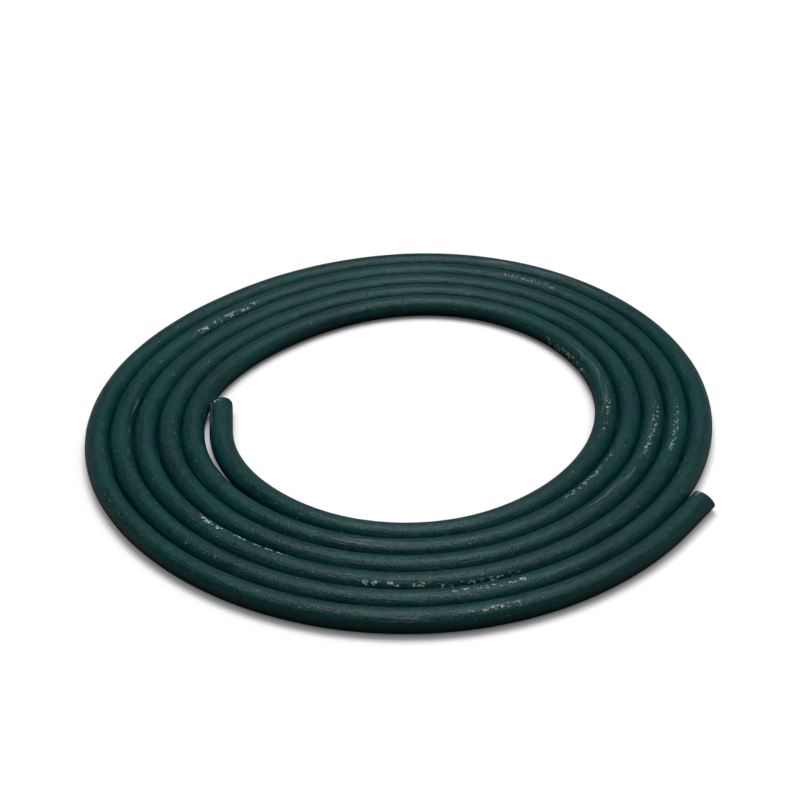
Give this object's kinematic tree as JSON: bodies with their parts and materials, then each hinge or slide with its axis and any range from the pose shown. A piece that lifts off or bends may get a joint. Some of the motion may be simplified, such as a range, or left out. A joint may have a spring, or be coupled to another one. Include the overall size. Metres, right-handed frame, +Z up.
{
  "type": "soaker hose",
  "caption": "Length of porous rubber soaker hose wound into one flat round coil, both ends cut square, bare and open.",
  "frame": {"origin": "on the floor, under the middle of the box round the coil", "axes": "+Z up from the floor, +Y along the coil's slightly longer way, away from the side that the picture is taken from, +X to the right in the picture; the outer end is at the right front"},
  "size_m": [0.5538, 0.5676, 0.0203],
  "materials": {
    "porous_rubber": "matt, slightly chalky recycled rubber with fine pores"
  },
  "bodies": {
    "root": {"outer_end": "porous_rubber", "outer_run": "porous_rubber", "coil": "porous_rubber", "inner_run": "porous_rubber", "inner_end": "porous_rubber"}
  },
  "joints": []
}
